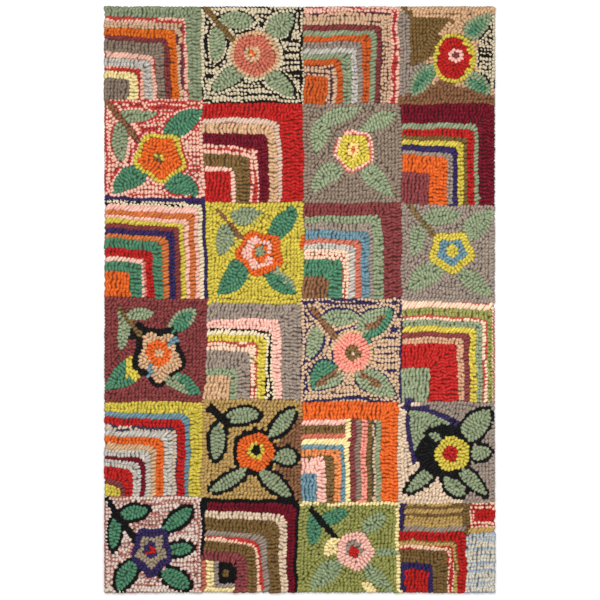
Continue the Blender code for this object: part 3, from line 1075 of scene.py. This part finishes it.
# One output of a node. Sums, products and so on of these, and of plain numbers, become Math nodes.
class Wire:
    def __init__(self, paint, socket):
        self.paint = paint
        self.socket = socket

    def maths(self, operation, *values):
        return self.paint.node("ShaderNodeMath", {"operation": operation}, dict(enumerate(values)))

    def __add__(self, other):
        return self.maths("ADD", self, other)

    def __sub__(self, other):
        return self.maths("SUBTRACT", self, other)

    def __mul__(self, other):
        return self.maths("MULTIPLY", self, other)

    def __truediv__(self, other):
        return self.maths("DIVIDE", self, other)

    def __pow__(self, other):
        return self.maths("POWER", self, other)

    def __radd__(self, other):
        return self.maths("ADD", other, self)

    def __rsub__(self, other):
        return self.maths("SUBTRACT", other, self)

    def __rmul__(self, other):
        return self.maths("MULTIPLY", other, self)

    def __abs__(self):
        return self.maths("ABSOLUTE", self)

    def sine(self):
        return self.maths("SINE", self)

    def cosine(self):
        return self.maths("COSINE", self)

    # The three parts of a vector
    def parts(self):
        split = self.paint.node("ShaderNodeSeparateXYZ", {}, {0: self}).socket.node
        return [Wire(self.paint, output) for output in split.outputs]

    # From 0 at a low value to 1 at a high one
    def between(self, low, high):
        ends = {"From Min": low, "From Max": high, "To Min": 0.0, "To Max": 1.0}
        return self.paint.node("ShaderNodeMapRange", {"clamp": True}, {"Value": self, **ends})


# A material under construction
class Paint:
    def __init__(self, name):
        self.material = bpy.data.materials.new(name)
        self.material.use_nodes = True
        self.tree = self.material.node_tree
        self.surface = self.tree.nodes["Principled BSDF"]

    def node(self, kind, settings, inputs, output=0):
        made = self.tree.nodes.new(kind)
        for name, value in settings.items():
            setattr(made, name, value)
        self.feed(made, inputs)
        return Wire(self, made.outputs[output])

    def feed(self, node, inputs):
        for name, value in inputs.items():
            if isinstance(value, Wire):
                self.tree.links.new(value.socket, node.inputs[name])
            else:
                node.inputs[name].default_value = value

    def mix(self, share, first, second, blend="MIX"):
        settings = {"data_type": "RGBA", "blend_type": blend}
        return self.node("ShaderNodeMix", settings, {0: share, 6: first, 7: second}, 2)

    def noise(self, place, scale, detail):
        return self.node("ShaderNodeTexNoise", {}, {"Vector": place, "Scale": scale, "Detail": detail})

    def bump(self, strength, distance, height):
        inputs = {"Strength": strength, "Distance": distance, "Height": height}
        return self.node("ShaderNodeBump", {}, inputs)

    def finish(self, **inputs):
        self.feed(self.surface, {name.replace("_", " "): value for name, value in inputs.items()})
        return self.material


# A colour from 0 to 255 as it looks on a screen, for a shader
def dye(colour):
    linear = [((c / 255.0 + 0.055) / 1.055) ** 2.4 if c > 10 else c / 255.0 / 12.92 for c in colour]
    return (*linear, 1.0)


# How the yarn of a loop looks
finish = {
    "twist": 1.0,               # turns of the strands over a loop
    "strands": (1.16, 0.86),    # how much lighter and darker the two strands of a plain yarn are
    "grooveShade": 0.72,         # painted shade: brightness in the groove between two strands
    "sideShade": 0.66,           # painted shade: brightness down a loop's sides
    "flank": (0.12, 0.66),      # from where to where the painted side shade comes in, between its top and its edge
    "footShade": 0.80,           # painted shade: brightness down at its feet
    "foot": (0.5, 1.0),         # and where the painted foot shade comes in along it, between its middle and its ends
    "tones": (0.6, 1.4),        # brightness from the darkest loop to the lightest
    "fibre": 0.30,              # brightness that single fibres add or take
    "fibreNoise": (2.4, 3.0),   # scale and detail
    "fleckNoise": (0.5, 1.0),   # the same of the wider flecks
    "fibreStretch": (6.0, 5.0),     # noise units around a loop and along it
    "apart": (37.0, 91.0),      # turns and noise units that set loops of different tones apart
    "paintedHighlight": 0.03,               # painted highlight: share of white added where a loop is brightest
    "paintedHighlightColour": (1.0, 0.95, 0.88, 1.0),
    "paintedHighlit": (0.8, 1.35),        # from which brightness to which the painted highlight comes in
    "bump": 0.0006,             # metres
    "bumpStrength": 0.8,
    "bumpParts": (0.6, 0.45),   # shares of the groove and the fibres in it
    "rough": (0.78, 0.98),      # with the fibres
    "specular": 0.06,
    "sheen": (0.05, 0.5),       # weight and roughness
}

# How a marl's second strand shows
marled = {
    "ragged": 0.5,              # how far flecks move the line between the two strands
    "comeAndGo": 0.8,           # how far it moves from loop to loop
    "round": 0.4,               # and with that towards the loop's sides
    "gain": 1.4,                # how far the marl's own share moves it
    "from": -0.95,              # where it lies for none of the second strand
    "soft": 0.07,               # half of the width over which the strands blend
}


def yarnMaterial(name):
    paint = Paint("yarn_" + name)
    around, along, _ = paint.node("ShaderNodeUVMap", {"uv_map": "yarn"}, {}).parts()
    tone, phase, amount = paint.node("ShaderNodeAttribute", {"attribute_name": "loop"}, {}, "Vector").parts()
    end, side = along * 2.0 - 1.0, around * 2.0 - 1.0
    turn = around + along * finish["twist"] + tone * finish["apart"][0]
    across, down = finish["fibreStretch"]
    stretched = {0: turn * across, 1: along * down, 2: tone * finish["apart"][1]}
    ragged = paint.node("ShaderNodeCombineXYZ", {}, stretched)
    fibre, fleck = paint.noise(ragged, *finish["fibreNoise"]), paint.noise(ragged, *finish["fleckNoise"])
    strands = (turn * math.tau).sine()
    if name in marls:
        first, other, second = marls[name]
        first, other = dye(first), dye(other)
        # the second strand shows at one end of the loop
        roll = phase * math.tau
        parting = roll.cosine() * end + roll.sine() * side + (fleck - 0.5) * marled["ragged"]
        parting = parting + (amount - 0.5) * marled["comeAndGo"] + abs(side) * amount * marled["round"]
        parting = parting + (second * marled["gain"] + marled["from"])
        share = parting.between(-marled["soft"], marled["soft"])
    else:
        share = strands * 0.5 + fleck
        first, other = (tuple(min(1.0, times * value) for value in dye(plainYarns[name])[:3]) + (1.0,)
                        for times in finish["strands"])
    groove = abs(strands) ** 0.5
    low, high = finish["tones"]
    # painted shade: the loop's own tone is darkened in the grooves between strands, down its sides and at its
    # feet
    toneAndShade = (tone * (high - low) + low) * (groove * (1.0 - finish["grooveShade"]) + finish["grooveShade"])
    toneAndShade = toneAndShade * (1.0 - abs(side).between(*finish["flank"]) * (1.0 - finish["sideShade"]))
    toneAndShade = toneAndShade * (1.0 - abs(end).between(*finish["foot"]) * (1.0 - finish["footShade"]))
    toneAndShade = toneAndShade * ((fibre - 0.5) * (2.0 * finish["fibre"]) + 1.0)
    toneAndShadeGrey = paint.node("ShaderNodeCombineXYZ", {}, {0: toneAndShade, 1: toneAndShade, 2: toneAndShade})
    shaded = paint.mix(1.0, paint.mix(share, first, other), toneAndShadeGrey, "MULTIPLY")
    # painted highlight: white mixed in where the loop's painted brightness is highest
    paintedHighlit = paint.mix(toneAndShade.between(*finish["paintedHighlit"]) * finish["paintedHighlight"], shaded, finish["paintedHighlightColour"])
    grooves, fibres = finish["bumpParts"]
    bump = paint.bump(finish["bumpStrength"], finish["bump"], groove * grooves + fibre * fibres)
    smoothest, roughest = finish["rough"]
    weight, sheenRough = finish["sheen"]
    roughness = fibre * (roughest - smoothest) + smoothest
    return paint.finish(Base_Color=paintedHighlit, Roughness=roughness, Specular_IOR_Level=finish["specular"],
                        Sheen_Weight=weight, Sheen_Roughness=sheenRough, Normal=bump)


# The foundation is one cloth: a sheet with its border folded under and laid flat
def foundationPiece():
    thick, fold = foundation["thickness"], foundation["setback"]
    top = foundation["top"]
    radius = 0.5 * top
    section = [(fold + radius, top)]
    for step in range(1, foundation["foldSteps"]):
        angle = math.pi * step / foundation["foldSteps"]
        section.append((fold + radius - radius * math.sin(angle), radius + radius * math.cos(angle)))
    hemEnd = fold + foundation["hemWidth"]
    section += [(fold + radius, 0.0), (hemEnd, 0.0), (hemEnd, thick), (fold + radius, thick),
                (fold + radius, top - thick)]
    across, along = foundation["stepsAcross"], foundation["stepsAlong"]
    places = [(i, 0) for i in range(across)] + [(across, j) for j in range(along)]
    places += [(i, along) for i in range(across, 0, -1)] + [(0, j) for j in range(along, 0, -1)]
    points = []
    for inset, height in section:
        for i, j in places:
            s, t = i / across, j / along
            halfX = cadHigh.x - inset - rug["sideDraw"] * drawnIn(t, rug["blocksAlong"])
            halfY = cadHigh.y - inset - rug["sideDraw"] * drawnIn(s, rug["blocksAcross"])
            points.append(((2.0 * s - 1.0) * halfX, (2.0 * t - 1.0) * halfY, height))
    count = len(places)
    faces = [tuple(range(count))]
    for ring in range(len(section) - 1):
        for index in range(count):
            after = (index + 1) % count
            faces.append((ring * count + after, ring * count + index, (ring + 1) * count + index,
                          (ring + 1) * count + after))
    last = (len(section) - 1) * count
    faces.append(tuple(reversed(range(last, last + count))))
    mesh = bpy.data.meshes.new("foundation")
    mesh.from_pydata(points, [], faces)
    mesh.update()
    mesh.validate()
    mesh.shade_smooth()
    mesh.set_sharp_from_angle(angle=math.radians(foundation["sharpFold"]))
    made = bpy.data.objects.new("foundation", mesh)
    bpy.context.scene.collection.objects.link(made)
    return made


# How the cloth looks
linen = {
    "threadShare": 0.7,         # of its pattern that comes from the threads and not from slubs
    "slubNoise": (260.0, 3.0),  # scale and detail
    "crossing": 0.1,            # half of the width over which one thread gives way to the other
    "shadeFacing": 0.5,              # how steeply a face must look up to have the painted shade of the pile side in full
    "bumpStrength": 0.7,
    "bump": 0.0004,             # metres
    "rough": (0.85, 0.95),      # less on slubs
    "specular": 0.2,
}


def linenMaterial():
    paint = Paint("linen")
    place = paint.node("ShaderNodeTexCoord", {}, {}, "Object")
    x, y, _ = place.parts()
    turn = math.pi / foundation["thread"]
    warp, weft = abs((x * turn).sine()), abs((y * turn).sine())
    checks = (x * turn * 0.5).sine() * (y * turn * 0.5).sine()
    over = checks.between(-linen["crossing"], linen["crossing"])
    slub = paint.noise(place, *linen["slubNoise"])
    share = (warp * over + weft * (1.0 - over)) * linen["threadShare"] + slub * (1.0 - linen["threadShare"])
    colour = paint.mix(share, dye(foundation["darkThread"]), dye(foundation["lightThread"]))
    # painted shade: faces that look up, down between the loops, are darkened to the pile side's colour
    upward = paint.node("ShaderNodeNewGeometry", {}, {}, "Normal").parts()[2].between(0.0, linen["shadeFacing"])
    shadedUnderPile = paint.mix(share, dye(foundation["pileSideShade"]), colour, "MULTIPLY")
    bump = paint.bump(linen["bumpStrength"], linen["bump"], share)
    smoothest, roughest = linen["rough"]
    roughness = roughest - slub * (roughest - smoothest)
    return paint.finish(Base_Color=paint.mix(upward, colour, shadedUnderPile), Roughness=roughness,
                        Specular_IOR_Level=linen["specular"], Normal=bump)


# The floor, the light and the camera
studio = {
    "floor": (236, 236, 236),
    "floorSide": 8.0,           # metres
    "floorRough": 0.7,
    "world": 0.55,              # strength of the light all round
    "lens": 420.0,              # millimetres, as the sensor
    "sensor": 36.0,
    "aim": (0.0006, -0.0007),   # metres that the camera stands off the rug's middle
    "frameHeight": 600.0,       # pixels of the picture
    "rugHeight": 588.0,         # and of the rug in it
    "lamps": (                  # name, place, size and watts
        ("overhead", (-0.4, 0.75, 2.2), 1.7, 50.0),
        ("fill", (1.2, -0.7, 1.6), 1.8, 14.0),
    ),
}


def makeStudio():
    scene = bpy.context.scene
    scene.view_settings.view_transform = "Standard"
    bpy.ops.mesh.primitive_plane_add(size=studio["floorSide"], location=(0.0, 0.0, 0.0))
    floor = bpy.context.object
    floor.name = "floor"
    look = Paint("floor").finish(Base_Color=dye(studio["floor"]), Roughness=studio["floorRough"])
    floor.data.materials.append(look)
    world = bpy.data.worlds.new("studio")
    scene.world = world
    world.use_nodes = True
    backdrop = world.node_tree.nodes["Background"]
    backdrop.inputs["Color"].default_value = (1.0, 1.0, 1.0, 1.0)
    backdrop.inputs["Strength"].default_value = studio["world"]
    for name, place, size, watts in studio["lamps"]:
        lamp = bpy.data.lights.new(name, "AREA")
        lamp.energy, lamp.size = watts, size
        holder = bpy.data.objects.new(name, lamp)
        holder.location = place
        holder.rotation_euler = (-holder.location).to_track_quat("-Z", "Y").to_euler()
        scene.collection.objects.link(holder)
    camera = bpy.data.cameras.new("camera")
    camera.lens, camera.sensor_width = studio["lens"], studio["sensor"]
    holder = bpy.data.objects.new("camera", camera)
    shown = (cadHigh.y - cadLow.y) * studio["frameHeight"] / studio["rugHeight"]
    holder.location = (*studio["aim"], cadHigh.z + shown * studio["lens"] / studio["sensor"])
    scene.collection.objects.link(holder)
    scene.camera = holder


print("laying out the studio")
makeStudio()

print("making the foundation")
base = foundationPiece()
base.data.materials.append(linenMaterial())
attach(base, "root")

print("hooking the rug")
byYarn = hookRug()
total = sum(len(loops) for loops in byYarn.values())
print("loops", total, {name: len(loops) for name, loops in byYarn.items()})

for name, loops in byYarn.items():
    if not loops:
        continue
    piece = pilePiece(name, loops)
    piece.data.materials.append(yarnMaterial(name))
    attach(piece, "root")

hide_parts("rug")
